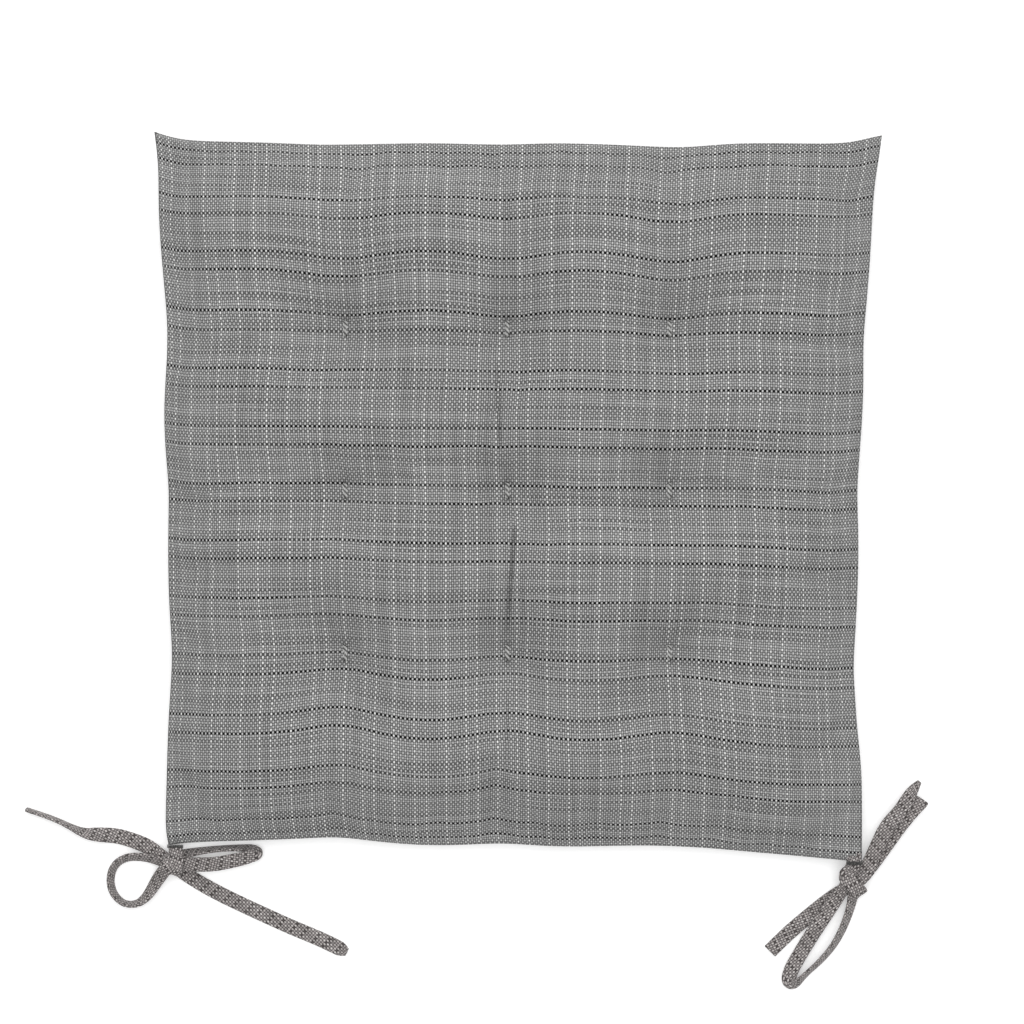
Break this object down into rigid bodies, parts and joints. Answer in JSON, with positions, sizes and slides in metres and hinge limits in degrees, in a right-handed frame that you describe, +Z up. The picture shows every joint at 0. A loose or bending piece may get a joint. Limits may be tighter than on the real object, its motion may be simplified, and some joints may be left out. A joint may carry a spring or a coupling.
{
  "type": "chair seat pad",
  "caption": "Square tufted seat pad in grey plain-weave cloth, knife-edged, with cloth ties in bows at its rear corners.",
  "frame": {"origin": "on the surface the pad lies on, under the middle of the pad's bounding box", "axes": "+Z up, the front edge faces -Y, the edge with the ties faces +Y, +X to the sitter's left"},
  "size_m": [0.5083, 0.4794, 0.045],
  "materials": {
    "cover_cloth": "grey plain weave of flecked yarns, matt",
    "tie_cloth": "the cover's cloth folded and stitched into a flat tape, matt",
    "sewing_thread": "grey spun polyester sewing thread, matt",
    "polyester_fibre": "loose white fibre"
  },
  "bodies": {
    "root": {"cover_top": "cover_cloth", "cover_bottom": "cover_cloth", "filling": "polyester_fibre", "seam_thread": "sewing_thread", "closing_thread": "sewing_thread", "tuft_front_right": "sewing_thread", "tuft_front_centre": "sewing_thread", "tuft_front_left": "sewing_thread", "tuft_middle_right": "sewing_thread", "tuft_middle_centre": "sewing_thread", "tuft_middle_left": "sewing_thread", "tuft_rear_right": "sewing_thread", "tuft_rear_centre": "sewing_thread", "tuft_rear_left": "sewing_thread", "tie_left_root": "tie_cloth", "tie_left_bartack": "sewing_thread", "tie_left_knot": "tie_cloth", "tie_left_loop_side": "tie_cloth", "tie_left_loop_rear": "tie_cloth", "tie_left_tail_side": "tie_cloth", "tie_left_tail_rear": "tie_cloth", "tie_right_root": "tie_cloth", "tie_right_bartack": "sewing_thread", "tie_right_knot": "tie_cloth", "tie_right_loop_side": "tie_cloth", "tie_right_loop_rear": "tie_cloth", "tie_right_tail_side": "tie_cloth", "tie_right_tail_rear": "tie_cloth"}
  },
  "joints": []
}
